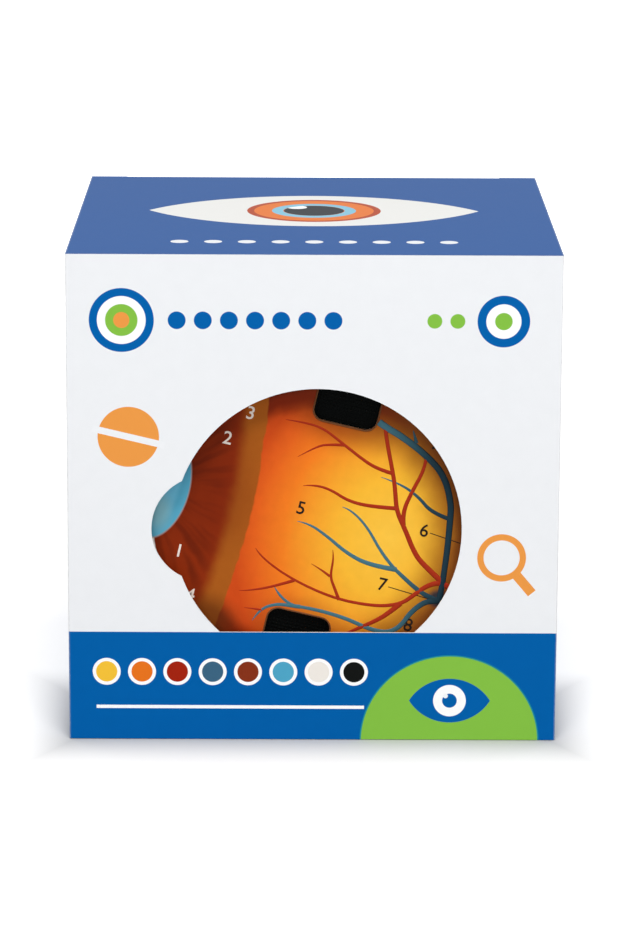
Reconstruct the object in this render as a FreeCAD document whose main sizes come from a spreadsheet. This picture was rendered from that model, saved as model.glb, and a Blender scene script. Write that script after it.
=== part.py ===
"""Windowed board carton that holds a soft-foam eye model in two halves.

The origin is the middle of the carton's base. +X is to the right of the window side, +Y is away from
the window, +Z is up. All sizes are in millimetres and all angles are in degrees.
"""
import FreeCAD
import Part
import math
import os
import re
import Sketcher

SIZES = [
    # Carton
    ("width", 160.0),
    ("depth", 160.0),
    ("height", 162.0),
    ("board", 0.6),
    ("fold_gap", 0.12),
    ("fold_round", 0.5),
    ("flap_clear", 0.2),
    ("slide_clear", 0.3),
    # Window in the front panel: a circle with a flat sill, and a bulge at the side of the cornea
    ("window_radius", 47.0),
    ("window_across", 1.4),
    ("window_up", 71.1),
    ("window_sill", 36.5),
    ("bulge_radius", 17.9),
    ("bulge_across", -34.8),
    ("bulge_up", 71.3),
    # Lid, its tuck flap and the dust flaps under it
    ("shoulder_width", 13.0),
    ("tuck_length", 22.0),
    ("tuck_lean", 8.0),
    ("tuck_round", 9.0),
    ("dust_length", 50.0),
    ("dust_front", 3.0),
    ("dust_rear", 6.0),
    ("dust_rear_taper", 6.0),
    ("dust_taper", 35.0),
    ("dust_round", 4.0),
    # Glue flap and the glued bottom
    ("glue_width", 14.0),
    ("glue_margin", 4.0),
    ("glue_top", 8.0),
    ("glue_taper", 8.0),
    ("bottom_length", 50.0),
    ("bottom_taper", 25.0),
    ("bottom_slit", 1.0),
    # Insert that carries the eye, with its deck as high as the nerve lets it be
    ("nerve_clear", 0.6),
    ("insert_clear", 0.9),
    ("seat_clear", 0.3),
    # Eye
    ("eye_across", 0.8),
    ("eye_up", 75.2),
    ("eye_tilt", 13.3),
    ("eye_setback", 5.0),
    ("ball_radius", 59.0),
    ("cornea_radius", 27.0),
    ("cornea_tip", 69.6),
    ("limbus_blend", 6.0),
    ("nerve_radius", 8.5),
    ("nerve_drop", 18.0),
    ("nerve_tip", 80.0),
    ("nerve_blend", 5.0),
    ("rim_round", 2.4),
    ("print_skin", 0.4),
    # Fastening pads in the cut faces, each with its gap to the ball's edge
    ("pad_upper_across", 1.7),
    ("pad_lower_across", 3.2),
    ("pad_width", 20.8),
    ("pad_height", 15.0),
    ("pad_upper_gap", 13.0),
    ("pad_lower_gap", 10.0),
    ("pad_round", 3.5),
    ("pad_clear", 0.25),
    ("recess_depth", 3.0),
    ("hook_thick", 1.8),
    ("loop_proud", 1.0),
]
OVERSHOOT = "1"
SAME_PLACE = 0.01
SAME_PLANE = 0.001

document = FreeCAD.newDocument("EyeModelCarton")
sheet = document.addObject("Spreadsheet::Sheet", "Sizes")
for row, (alias, size) in enumerate(SIZES, 1):
    sheet.set(f"A{row}", alias)
    sheet.set(f"B{row}", str(size))
    sheet.setAlias(f"B{row}", alias)
document.recompute()

ALIAS = re.compile(r"\b(" + "|".join(alias for alias, size in SIZES) + r")\b")


def formula(words):
    """Turns a formula in the sheet's aliases into one that any object can use."""
    return ALIAS.sub(r"Sizes.\1", words)


def number(words):
    """Gives the value of a formula now."""
    return float(sheet.evalExpression(formula(words)))


# Places that several pieces share
LEFT = "(-width / 2)"
RIGHT = "(width / 2)"
FRONT = "(-depth / 2)"
REAR = "(depth / 2)"
IN_LEFT = "(-width / 2 + board)"
IN_RIGHT = "(width / 2 - board)"
IN_FRONT = "(-depth / 2 + board)"
IN_REAR = "(depth / 2 - board)"
LID_UNDER = "(height - board)"
WALL_TOP = "(height - board - flap_clear)"
TUCK_FOLD = "(depth / 2 - board - slide_clear)"
INSERT_HALF_WIDTH = "(width / 2 - board - insert_clear)"
INSERT_HALF_DEPTH = "(depth / 2 - board - insert_clear)"
FLOOR = "(2 * board)"
FACE = "(depth / 2 - board - eye_setback)"
FOAM_PLANE = "(depth / 2 - board - eye_setback - print_skin)"
NERVE_START = "(ball_radius / 2)"
NERVE_LOW = "(eye_up - nerve_tip * sin(eye_tilt * 1 deg) - (nerve_drop + nerve_radius) * cos(eye_tilt * 1 deg))"
DECK_TOP = f"({NERVE_LOW} - nerve_clear)"


# ---------------------------------------------------------------- helpers

def new_body(label):
    """Starts a sub-part."""
    body = document.addObject("PartDesign::Body", label)
    body.Label = label
    return body


def new_sketch(body, plane, level, shift="0"):
    """Starts a sketch on one of the body's own origin planes, raised to a level along its normal."""
    sketch = body.newObject("Sketcher::SketchObject", f"{body.Label}_sketch")
    planes = {feature.Role: feature for feature in body.Origin.OriginFeatures}
    sketch.AttachmentSupport = [(planes[f"{plane}_Plane"], "")]
    sketch.MapMode = "FlatFace"
    sketch.setExpression("AttachmentOffset.Base.z", formula(level))
    sketch.setExpression("AttachmentOffset.Base.y", formula(shift))
    return sketch


def bind(sketch, constraint, words):
    """Adds a constraint whose value follows a formula."""
    row = sketch.addConstraint(constraint)
    sketch.setExpression(f"Constraints[{row}]", formula(words))


def fix_point(sketch, geometry, vertex, across, up):
    """Holds one point of a sketch at a place given by two formulas."""
    for kind, words in (("DistanceX", across), ("DistanceY", up)):
        bind(sketch, Sketcher.Constraint(kind, -1, 1, geometry, vertex, number(words)), words)


def draw_polygon(sketch, corners):
    """Draws a closed outline of straight lines through corners given by formulas."""
    points = [FreeCAD.Vector(number(across), number(up), 0) for across, up in corners]
    count = len(points)
    for n in range(count):
        sketch.addGeometry(Part.LineSegment(points[n], points[(n + 1) % count]))
    for n in range(count):
        sketch.addConstraint(Sketcher.Constraint("Coincident", n, 2, (n + 1) % count, 1))
    for n, (across, up) in enumerate(corners):
        fix_point(sketch, n, 1, across, up)


def box_corners(left, right, low, high):
    """Gives the corners of a rectangle."""
    return [(left, low), (right, low), (right, high), (left, high)]


def draw_circle(sketch, across, up, radius):
    """Draws a circle with its centre and radius given by formulas."""
    centre = FreeCAD.Vector(number(across), number(up), 0)
    circle = sketch.addGeometry(Part.Circle(centre, FreeCAD.Vector(0, 0, 1), number(radius)))
    fix_point(sketch, circle, 3, across, up)
    bind(sketch, Sketcher.Constraint("Radius", circle, number(radius)), radius)


def add(body, plane, low, thick, draw, *details):
    """Adds a plate that fills low to low + thick along the plane's world axis."""
    level = f"-({low} + {thick})" if plane == "XZ" else low
    sketch = new_sketch(body, plane, level)
    draw(sketch, *details)
    pad = body.newObject("PartDesign::Pad", f"{body.Label}_pad")
    pad.Profile = sketch
    pad.setExpression("Length", formula(thick))


def cut(body, plane, low, thick, draw, *details):
    """Cuts an outline through low to low + thick along the plane's world axis."""
    document.recompute()
    before = body.Shape.Volume
    level = f"-({low})" if plane == "XZ" else f"{low} + {thick}"
    sketch = new_sketch(body, plane, level)
    draw(sketch, *details)
    pocket = body.newObject("PartDesign::Pocket", f"{body.Label}_pocket")
    pocket.Profile = sketch
    pocket.setExpression("Length", formula(thick))
    document.recompute()
    if not body.Shape.Volume < before:
        raise RuntimeError(f"a cut in {body.Label} removes nothing")


def round_edges(body, radius, chosen):
    """Rounds the edges that the test picks."""
    document.recompute()
    tip = body.Tip
    names = [f"Edge{n}" for n, edge in enumerate(tip.Shape.Edges, 1) if chosen(edge)]
    fillet = body.newObject("PartDesign::Fillet", f"{body.Label}_fillet")
    fillet.Base = (tip, names)
    fillet.setExpression("Radius", formula(radius))


def straight_edge_at(across_axis, up_axis, corners):
    """Gives a test for edges square to a plate that stand at one of the given corners."""
    places = [(number(across), number(up)) for across, up in corners]

    def test(edge):
        if edge.Curve.TypeId != "Part::GeomLine":
            return False
        ends = [vertex.Point for vertex in edge.Vertexes]
        return any(
            all(math.hypot(end[across_axis] - across, end[up_axis] - up) < SAME_PLACE for end in ends)
            for across, up in places
        )

    return test


# ---------------------------------------------------------------- carton walls

def draw_window(sketch):
    """Draws the window's circle with its flat sill."""
    centre = FreeCAD.Vector(number("window_across"), number("window_up"), 0)
    radius = number("window_radius")
    drop = number("window_up - window_sill")
    start = -math.asin(drop / radius)
    arc = Part.ArcOfCircle(Part.Circle(centre, FreeCAD.Vector(0, 0, 1), radius), start, math.pi - start)
    sketch.addGeometry(arc)
    half = radius * math.cos(start)
    left = centre + FreeCAD.Vector(-half, -drop, 0)
    right = centre + FreeCAD.Vector(half, -drop, 0)
    sketch.addGeometry(Part.LineSegment(left, right))
    sketch.addConstraint(Sketcher.Constraint("Coincident", 0, 2, 1, 1))
    sketch.addConstraint(Sketcher.Constraint("Coincident", 1, 2, 0, 1))
    sketch.addConstraint(Sketcher.Constraint("Horizontal", 1))
    fix_point(sketch, 0, 3, "window_across", "window_up")
    bind(sketch, Sketcher.Constraint("Radius", 0, radius), "window_radius")
    sill = Sketcher.Constraint("DistanceY", -1, 1, 1, 1, number("window_sill"))
    bind(sketch, sill, "window_sill")


def make_front_panel():
    """Makes the wall with the window. Its top is mitred for the lid's fold."""
    body = new_body("front_panel")
    add(body, "XZ", FRONT, "board", draw_polygon, box_corners(LEFT, RIGHT, "0", "height"))
    round_edges(body, "fold_round", straight_edge_at(0, 1, [(LEFT, FRONT), (RIGHT, FRONT)]))
    cut(body, "YZ", f"{LEFT} - {OVERSHOOT}", f"width + 2 * {OVERSHOOT}", draw_polygon,
        [(f"{FRONT} - {OVERSHOOT}", f"height + {OVERSHOOT}"),
         (f"{IN_FRONT} + {OVERSHOOT}", f"{LID_UNDER} - {OVERSHOOT}"),
         (f"{IN_FRONT} + {OVERSHOOT}", f"height + {OVERSHOOT}")])
    cut(body, "XZ", f"{FRONT} - {OVERSHOOT}", f"board + 2 * {OVERSHOOT}", draw_window)
    cut(body, "XZ", f"{FRONT} - {OVERSHOOT}", f"board + 2 * {OVERSHOOT}", draw_circle,
        "bulge_across", "bulge_up", "bulge_radius")


def make_rear_panel():
    """Makes the plain wall behind."""
    body = new_body("rear_panel")
    add(body, "XZ", IN_REAR, "board", draw_polygon, box_corners(LEFT, RIGHT, "0", WALL_TOP))
    round_edges(body, "fold_round", straight_edge_at(0, 1, [(LEFT, REAR), (RIGHT, REAR)]))


def make_side_panel(label, outer, inner, low):
    """Makes a side wall between the front and rear walls, mitred on top for its dust flap's fold."""
    body = new_body(label)
    add(body, "YZ", low, "board", draw_polygon, box_corners(IN_FRONT, IN_REAR, "0", WALL_TOP))
    inward = "(1)" if outer == LEFT else "(-1)"
    cut(body, "XZ", f"{IN_FRONT} - {OVERSHOOT}", f"depth + 2 * {OVERSHOOT}", draw_polygon,
        [(f"{outer} - {inward} * {OVERSHOOT}", f"{WALL_TOP} + {OVERSHOOT}"),
         (f"{inner} + {inward} * {OVERSHOOT}", f"{WALL_TOP} - board - {OVERSHOOT}"),
         (f"{inner} + {inward} * {OVERSHOOT}", f"{WALL_TOP} + {OVERSHOOT}")])


def make_glue_flap():
    """Makes the flap of the rear wall that is glued inside the left wall."""
    body = new_body("glue_flap")
    free = f"({IN_REAR} - glue_width)"
    add(body, "YZ", IN_LEFT, "board", draw_polygon,
        [(IN_REAR, f"{FLOOR} + glue_margin"),
         (IN_REAR, f"{WALL_TOP} - glue_top"),
         (free, f"{WALL_TOP} - glue_top - glue_taper"),
         (free, f"{FLOOR} + glue_margin + glue_taper")])


# ---------------------------------------------------------------- glued bottom

def make_bottom_flaps():
    """Makes the four flaps of the bottom: two meet in the outer layer, two lie over them."""
    middle = "bottom_slit / 2"
    for label, near, far in (("bottom_front_flap", IN_FRONT, f"(-{middle})"),
                             ("bottom_rear_flap", f"({middle})", IN_REAR)):
        body = new_body(label)
        add(body, "XY", "0", "board", draw_polygon, box_corners(IN_LEFT, IN_RIGHT, near, far))
    for label, wall, inward in (("bottom_left_flap", IN_LEFT, "(1)"),
                                ("bottom_right_flap", IN_RIGHT, "(-1)")):
        body = new_body(label)
        free = f"({wall} + {inward} * bottom_length)"
        add(body, "XY", "board", "board", draw_polygon,
            [(wall, f"{IN_FRONT} + glue_margin"),
             (free, f"{IN_FRONT} + bottom_taper"),
             (free, f"{IN_REAR} - bottom_taper"),
             (wall, f"{IN_REAR} - glue_margin")])


# ---------------------------------------------------------------- lid and flaps

def make_lid_panel():
    """Makes the lid. Its front edge and the middle of its rear edge are mitred for their folds."""
    body = new_body("lid_panel")
    fold = f"({TUCK_FOLD} - fold_gap)"
    shoulder_left = f"({LEFT} + shoulder_width)"
    shoulder_right = f"({RIGHT} - shoulder_width)"
    add(body, "XY", LID_UNDER, "board", draw_polygon,
        [(LEFT, f"{FRONT} + fold_gap"), (RIGHT, f"{FRONT} + fold_gap"), (RIGHT, REAR),
         (shoulder_right, REAR), (shoulder_right, fold), (shoulder_left, fold),
         (shoulder_left, REAR), (LEFT, REAR)])
    cut(body, "YZ", f"{LEFT} - {OVERSHOOT}", f"width + 2 * {OVERSHOOT}", draw_polygon,
        [(f"{FRONT} + fold_gap - {OVERSHOOT}", f"height + {OVERSHOOT}"),
         (f"{FRONT} + fold_gap + board + {OVERSHOOT}", f"{LID_UNDER} - {OVERSHOOT}"),
         (f"{FRONT} + fold_gap - {OVERSHOOT}", f"{LID_UNDER} - {OVERSHOOT}")])
    cut(body, "YZ", shoulder_left, "width - 2 * shoulder_width", draw_polygon,
        [(f"{fold} + {OVERSHOOT}", f"height + {OVERSHOOT}"),
         (f"{fold} - board - {OVERSHOOT}", f"{LID_UNDER} - {OVERSHOOT}"),
         (f"{fold} + {OVERSHOOT}", f"{LID_UNDER} - {OVERSHOOT}")])


def make_lid_tuck_flap():
    """Makes the tuck flap in a frame at its fold, leaning away from the rear wall."""
    body = new_body("lid_tuck_flap")
    half = "(width / 2 - shoulder_width - fold_gap)"
    add(body, "XZ", "(-board)", "board", draw_polygon,
        box_corners(f"(-{half})", half, "(-tuck_length)", "0"))
    steep = "tan((45 + tuck_lean) * 1 deg)"
    cut(body, "YZ", f"(-{half} - {OVERSHOOT})", f"2 * {half} + 2 * {OVERSHOOT}", draw_polygon,
        [(OVERSHOOT, f"{OVERSHOOT} * {steep}"),
         (f"(-board - {OVERSHOOT})", f"(-board - {OVERSHOOT}) * {steep}"),
         (f"(-board - {OVERSHOOT})", f"{OVERSHOOT} * {steep}")])
    round_edges(body, "tuck_round", straight_edge_at(
        0, 2, [(f"(-{half})", "(-tuck_length)"), (half, "(-tuck_length)")]))
    body.setExpression("Placement.Base.y", formula(TUCK_FOLD))
    body.setExpression("Placement.Base.z", formula("height"))
    body.Placement.Rotation = FreeCAD.Rotation(FreeCAD.Vector(-1, 0, 0), number("tuck_lean"))
    body.setExpression("Placement.Rotation.Angle", formula("tuck_lean"))


def make_dust_flap(label, wall, inward):
    """Makes a dust flap, folded in level under the lid. Its front edge slopes clear of the lid's fold."""
    body = new_body(label)
    fold = f"({wall} + {inward} * fold_gap)"
    free = f"({wall} + {inward} * dust_length)"
    slope = "(dust_length * tan(dust_taper * 1 deg))"
    rear_free = f"({IN_REAR} - dust_rear - dust_rear_taper)"
    front_free = f"({IN_FRONT} + dust_front + {slope})"
    add(body, "XY", f"({WALL_TOP} - board)", "board", draw_polygon,
        [(fold, f"{IN_FRONT} + dust_front"), (free, front_free),
         (free, rear_free), (fold, f"{IN_REAR} - dust_rear")])
    cut(body, "XZ", f"{IN_FRONT} - {OVERSHOOT}", f"depth + 2 * {OVERSHOOT}", draw_polygon,
        [(f"{fold} - {inward} * {OVERSHOOT}", f"{WALL_TOP} + {OVERSHOOT}"),
         (f"{fold} + {inward} * (board + {OVERSHOOT})", f"{WALL_TOP} - board - {OVERSHOOT}"),
         (f"{fold} - {inward} * {OVERSHOOT}", f"{WALL_TOP} - board - {OVERSHOOT}")])
    round_edges(body, "dust_round", straight_edge_at(0, 1, [(free, front_free), (free, rear_free)]))


# ---------------------------------------------------------------- insert

def draw_seat(sketch, side):
    """Draws the half-round seat in the deck. side is 1 behind and -1 in front, where the face looks."""
    side_word = f"({side})"
    radius = f"sqrt((ball_radius + seat_clear)^2 - (eye_up - {DECK_TOP})^2)"
    centre_up = f"{side_word} * {FOAM_PLANE}"
    proud = "loop_proud" if side > 0 else "0"
    stop_up = f"{side_word} * ({FACE} + {proud} + seat_clear)"
    centre = FreeCAD.Vector(number("eye_across"), number(centre_up), 0)
    reach = number(radius)
    start = 0 if side < 0 else math.pi
    circle = Part.Circle(centre, FreeCAD.Vector(0, 0, 1), reach)
    sketch.addGeometry(Part.ArcOfCircle(circle, start, start + math.pi))
    turn = 1 if side < 0 else -1
    arc_start = centre + FreeCAD.Vector(turn * reach, 0, 0)
    arc_end = centre - FreeCAD.Vector(turn * reach, 0, 0)
    lip = FreeCAD.Vector(0, number(stop_up) - centre.y, 0)
    sketch.addGeometry(Part.LineSegment(arc_end, arc_end + lip))
    sketch.addGeometry(Part.LineSegment(arc_end + lip, arc_start + lip))
    sketch.addGeometry(Part.LineSegment(arc_start + lip, arc_start))
    for first, first_end, second, second_end in ((0, 2, 1, 1), (1, 2, 2, 1), (2, 2, 3, 1), (3, 2, 0, 1)):
        join = Sketcher.Constraint("Coincident", first, first_end, second, second_end)
        sketch.addConstraint(join)
    for upright in (1, 3):
        sketch.addConstraint(Sketcher.Constraint("Vertical", upright))
    fix_point(sketch, 0, 3, "eye_across", centre_up)
    bind(sketch, Sketcher.Constraint("Radius", 0, reach), radius)
    level = Sketcher.Constraint("DistanceY", -1, 1, 0, 1, centre.y)
    bind(sketch, level, centre_up)
    for end in (1, 2):
        stop = Sketcher.Constraint("DistanceY", -1, 1, 2, end, number(stop_up))
        bind(sketch, stop, stop_up)


def make_insert():
    """Makes the folded board table: a deck with a seat for each half, and four legs."""
    half_width = INSERT_HALF_WIDTH
    half_depth = INSERT_HALF_DEPTH
    deck_low = f"({DECK_TOP} - board)"
    leg_high = f"({deck_low} - {FLOOR})"
    deck = new_body("insert_deck")
    add(deck, "XY", deck_low, "board", draw_polygon,
        box_corners(f"(-{half_width})", half_width, f"(-{half_depth})", half_depth))
    for side in (-1, 1):
        cut(deck, "XY", f"{deck_low} - {OVERSHOOT}", f"board + 2 * {OVERSHOOT}", draw_seat, side)
    for label, low in (("insert_front_leg", f"(-{half_depth})"),
                       ("insert_rear_leg", f"({half_depth} - board)")):
        leg = new_body(label)
        add(leg, "XZ", low, "board", draw_polygon,
            box_corners(f"(-{half_width})", half_width, FLOOR, f"({FLOOR} + {leg_high})"))
    for label, low in (("insert_left_leg", f"(-{half_width})"),
                       ("insert_right_leg", f"({half_width} - board)")):
        leg = new_body(label)
        add(leg, "YZ", low, "board", draw_polygon,
            box_corners(f"(-{half_depth} + board)", f"({half_depth} - board)",
                        FLOOR, f"({FLOOR} + {leg_high})"))


# ---------------------------------------------------------------- eye

def draw_eye_profile(sketch):
    """Draws half of the eye's outline: the ball, the limbus blend and the cornea, closed on the axis."""
    ball = number("ball_radius")
    cornea = number("cornea_radius")
    blend = number("limbus_blend")
    cornea_centre = FreeCAD.Vector(-number("cornea_tip - cornea_radius"), 0, 0)
    offset = -cornea_centre.x
    across = -((ball + blend) ** 2 - (cornea + blend) ** 2 + offset ** 2) / (2 * offset)
    blend_centre = FreeCAD.Vector(across, math.sqrt((ball + blend) ** 2 - across ** 2), 0)
    to_ball = -blend_centre
    to_cornea = cornea_centre - blend_centre
    up = FreeCAD.Vector(0, 0, 1)
    ball_end = math.atan2(blend_centre.y, blend_centre.x)
    cornea_start = math.atan2(-to_cornea.y, -to_cornea.x)
    sketch.addGeometry(Part.ArcOfCircle(Part.Circle(FreeCAD.Vector(), up, ball), 0, ball_end))
    sketch.addGeometry(Part.ArcOfCircle(
        Part.Circle(blend_centre, up, blend),
        math.atan2(to_cornea.y, to_cornea.x), math.atan2(to_ball.y, to_ball.x)))
    sketch.addGeometry(Part.ArcOfCircle(Part.Circle(cornea_centre, up, cornea), cornea_start, math.pi))
    tip = FreeCAD.Vector(-number("cornea_tip"), 0, 0)
    sketch.addGeometry(Part.LineSegment(tip, FreeCAD.Vector(ball, 0, 0)))
    sketch.addConstraint(Sketcher.Constraint("Tangent", 0, 2, 1, 2))
    sketch.addConstraint(Sketcher.Constraint("Tangent", 1, 1, 2, 1))
    sketch.addConstraint(Sketcher.Constraint("Coincident", 2, 2, 3, 1))
    sketch.addConstraint(Sketcher.Constraint("Coincident", 3, 2, 0, 1))
    sketch.addConstraint(Sketcher.Constraint("Coincident", 0, 3, -1, 1))
    sketch.addConstraint(Sketcher.Constraint("PointOnObject", 2, 3, -1))
    sketch.addConstraint(Sketcher.Constraint("PointOnObject", 3, 1, -1))
    sketch.addConstraint(Sketcher.Constraint("PointOnObject", 3, 2, -1))
    place = Sketcher.Constraint("DistanceX", -1, 1, 2, 3, cornea_centre.x)
    bind(sketch, place, "(-(cornea_tip - cornea_radius))")
    for arc, radius in ((0, "ball_radius"), (1, "limbus_blend"), (2, "cornea_radius")):
        bind(sketch, Sketcher.Constraint("Radius", arc, number(radius)), radius)


def revolve_half(body, sketch, side):
    """Turns a profile half way round its own axis, on the side where the half's dome lies."""
    turn = body.newObject("PartDesign::Revolution", f"{body.Label}_turn")
    turn.Profile = sketch
    turn.ReferenceAxis = (sketch, ["H_Axis"])
    turn.Angle = 180
    turn.Reversed = side > 0
    document.recompute()


def pad_box(above, clear):
    """Gives the outline of a fastening pad, or of its recess with a clearance all round."""
    half = f"(pad_width / 2 + {clear})"
    if above:
        across = "pad_upper_across"
        low = f"(ball_radius - pad_upper_gap - pad_height - {clear})"
        high = f"(ball_radius - pad_upper_gap + {clear})"
    else:
        across = "pad_lower_across"
        low = f"(-ball_radius + pad_lower_gap - {clear})"
        high = f"(-ball_radius + pad_lower_gap + pad_height + {clear})"
    return box_corners(f"({across} - {half})", f"({across} + {half})", low, high)


def cut_recesses(body, low, thick):
    """Cuts the two round-cornered places where the fastening pads sit."""
    for above in (True, False):
        outline = pad_box(above, "pad_clear")
        cut(body, "XZ", low, thick, draw_polygon, outline)
        round_edges(body, "(pad_round + pad_clear)", straight_edge_at(0, 2, outline))


def on_cut_face(edge):
    """Tells whether an edge lies in the plane of the cut face."""
    box = edge.BoundBox
    return abs(box.YMin) < SAME_PLANE and abs(box.YMax) < SAME_PLANE


def at_nerve_root(edge):
    """Tells whether an edge is the curve where the nerve leaves the ball."""
    middle = (edge.FirstParameter + edge.LastParameter) / 2
    points = [edge.valueAt(at) for at in (edge.FirstParameter, middle, edge.LastParameter)]
    on_ball = all(abs(point.Length - number("ball_radius")) < SAME_PLACE for point in points)
    from_axis = [math.hypot(point.y, point.z + number("nerve_drop")) for point in points]
    return on_ball and all(abs(gap - number("nerve_radius")) < SAME_PLACE for gap in from_axis)


def set_in_carton(body, side):
    """Tilts a piece of the eye and sets its cut plane in the carton."""
    body.Placement.Rotation = FreeCAD.Rotation(FreeCAD.Vector(0, 1, 0), number("eye_tilt"))
    body.setExpression("Placement.Rotation.Angle", formula("eye_tilt"))
    body.setExpression("Placement.Base.x", formula("eye_across"))
    body.setExpression("Placement.Base.y", formula(f"({side}) * {FOAM_PLANE}"))
    body.setExpression("Placement.Base.z", formula("eye_up"))


def make_foam_half(label, side):
    """Makes a foam half. Its cut face looks to side along Y, and its dome lies the other way."""
    body = new_body(label)
    profile = new_sketch(body, "XZ", "0")
    draw_eye_profile(profile)
    revolve_half(body, profile, -side)
    nerve = new_sketch(body, "XZ", "0", "(-nerve_drop)")
    draw_polygon(nerve, box_corners(NERVE_START, "nerve_tip", "0", "nerve_radius"))
    revolve_half(body, nerve, -side)
    round_edges(body, "nerve_blend", at_nerve_root)
    round_edges(body, "rim_round", on_cut_face)
    recess_low = f"(-{OVERSHOOT})" if side < 0 else "(-recess_depth)"
    cut_recesses(body, recess_low, f"(recess_depth + {OVERSHOOT})")
    set_in_carton(body, side)


def make_print(label, side):
    """Makes the printed skin on a cut face, with its outline inside the foam's rounded rim."""
    body = new_body(label)
    low = "(-print_skin)" if side < 0 else "0"
    add(body, "XZ", low, "print_skin", draw_circle, "0", "0", "(ball_radius - rim_round)")
    add(body, "XZ", low, "print_skin", draw_circle,
        "(-(cornea_tip - cornea_radius))", "0", "(cornea_radius - rim_round)")
    half = "(nerve_radius - rim_round)"
    add(body, "XZ", low, "print_skin", draw_polygon, box_corners(
        NERVE_START, "(nerve_tip - rim_round)", f"(-nerve_drop - {half})", f"(-nerve_drop + {half})"))
    cut_recesses(body, f"({low} - {OVERSHOOT})", f"(print_skin + 2 * {OVERSHOOT})")
    set_in_carton(body, side)


def make_pad(label, side, above, thick):
    """Makes a fastening pad that lies on the bottom of its recess."""
    body = new_body(label)
    low = f"(recess_depth - {thick})" if side < 0 else "(-recess_depth)"
    outline = pad_box(above, "0")
    add(body, "XZ", low, thick, draw_polygon, outline)
    round_edges(body, "pad_round", straight_edge_at(0, 2, outline))
    set_in_carton(body, side)


def make_eye():
    """Makes both halves with their prints and pads."""
    make_foam_half("labelled_half_foam", -1)
    make_print("labelled_half_print", -1)
    make_foam_half("plain_half_foam", 1)
    make_print("plain_half_print", 1)
    loop_thick = "(recess_depth + print_skin + loop_proud)"
    for above, place in ((True, "upper"), (False, "lower")):
        make_pad(f"{place}_hook_pad", -1, above, "hook_thick")
        make_pad(f"{place}_loop_pad", 1, above, loop_thick)


# ---------------------------------------------------------------- build and write

def check_and_write():
    """Stops on any failed object, then writes each sub-part to its own file."""
    document.recompute()
    for item in document.Objects:
        if {"Invalid", "Error"} & set(item.State):
            raise RuntimeError(f"{item.Name} failed: {item.State}")
    bodies = [item for item in document.Objects if item.TypeId == "PartDesign::Body"]
    for body in bodies:
        if body.Shape.isNull() or not body.Shape.isValid():
            raise RuntimeError(f"{body.Label} has no valid shape")
    os.makedirs("parts", exist_ok=True)
    for body in bodies:
        body.Shape.exportStep(f"parts/{body.Label}.step")
        box = body.Shape.BoundBox
        print(f"{body.Label:22} {len(body.Shape.Solids)} solid {body.Shape.Volume:12.1f} mm3  "
              f"x {box.XMin:7.2f} {box.XMax:7.2f}  y {box.YMin:7.2f} {box.YMax:7.2f}  "
              f"z {box.ZMin:7.2f} {box.ZMax:7.2f}")


make_front_panel()
make_rear_panel()
make_side_panel("left_panel", LEFT, IN_LEFT, LEFT)
make_side_panel("right_panel", RIGHT, IN_RIGHT, IN_RIGHT)
make_glue_flap()
make_bottom_flaps()
make_lid_panel()
make_lid_tuck_flap()
make_dust_flap("left_dust_flap", LEFT, "(1)")
make_dust_flap("right_dust_flap", RIGHT, "(-1)")
make_insert()
make_eye()
check_and_write()
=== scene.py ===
"""Dresses the windowed board carton and its soft-foam eye model in two halves.

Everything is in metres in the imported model's own frame: +Z up, -Y out of the window, +X to the right
of the window side. Sizes in this file are in millimetres unless a name says otherwise.
"""

import logging
import math
from dataclasses import dataclass
from enum import Enum
from typing import Sequence

import bpy
from mathutils import Matrix, Vector


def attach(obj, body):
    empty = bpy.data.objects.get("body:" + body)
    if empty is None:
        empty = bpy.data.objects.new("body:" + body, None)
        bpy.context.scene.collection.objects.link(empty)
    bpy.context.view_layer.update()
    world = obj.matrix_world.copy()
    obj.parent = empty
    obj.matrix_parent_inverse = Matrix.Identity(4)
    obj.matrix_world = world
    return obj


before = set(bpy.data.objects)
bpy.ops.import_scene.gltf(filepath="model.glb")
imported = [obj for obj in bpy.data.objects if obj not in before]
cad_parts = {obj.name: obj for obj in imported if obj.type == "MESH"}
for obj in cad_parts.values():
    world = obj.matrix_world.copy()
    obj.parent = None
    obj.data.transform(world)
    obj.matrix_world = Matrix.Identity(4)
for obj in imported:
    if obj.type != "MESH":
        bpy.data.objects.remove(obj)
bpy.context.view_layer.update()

LOG = logging.getLogger("eye_model")
MM = 0.001
FAR = 900.0  # a half size that reaches right through the object
NO_REPEAT = 1e4  # half a step so long that nothing repeats

Tree = bpy.types.NodeTree
Socket = bpy.types.NodeSocket
Piece = bpy.types.Object
Material = bpy.types.Material
Pair = tuple[float, float]
Triple = tuple[float, float, float]
ORIGIN = (0.0, 0.0, 0.0)

# Carton
WIDTH = 160.0
DEPTH = 160.0
HEIGHT = 162.0
BOARD = 0.6
SILL = 36.5
TUCK_FOLD = 79.1
TUCK_LEAN = 8.0  # degrees
DUST_FOLD = 161.2
SHOULDER = 13.0

# Eye
EYE_ACROSS = 0.8
EYE_UP = 75.2
EYE_TILT = 13.3  # degrees
FACE = 74.4
FOAM_PLANE = 74.0
BALL_RADIUS = 59.0
CORNEA_TIP = -69.6
NERVE_DROP = 18.0
NERVE_TIP = 80.0
PAD_WIDTH = 20.8
PAD_HEIGHT = 15.0
PAD_ROUND = 3.75
PAD_PLACES = ((1.7, 31.0 + PAD_HEIGHT / 2), (3.2, -34.0 - PAD_HEIGHT / 2))  # across and up the face
DRAWN_UNIT = 1.014  # millimetres on the cut face for each unit that its drawing is laid out in


class Ink(str, Enum):
    """The carton's printing inks, its coated paper and plain white."""

    BLUE = "#005FA9"
    GREEN = "#84BF45"
    ORANGE = "#EC9A48"
    PAPER = "#EFF1F4"
    WHITE = "#FFFFFF"


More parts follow.
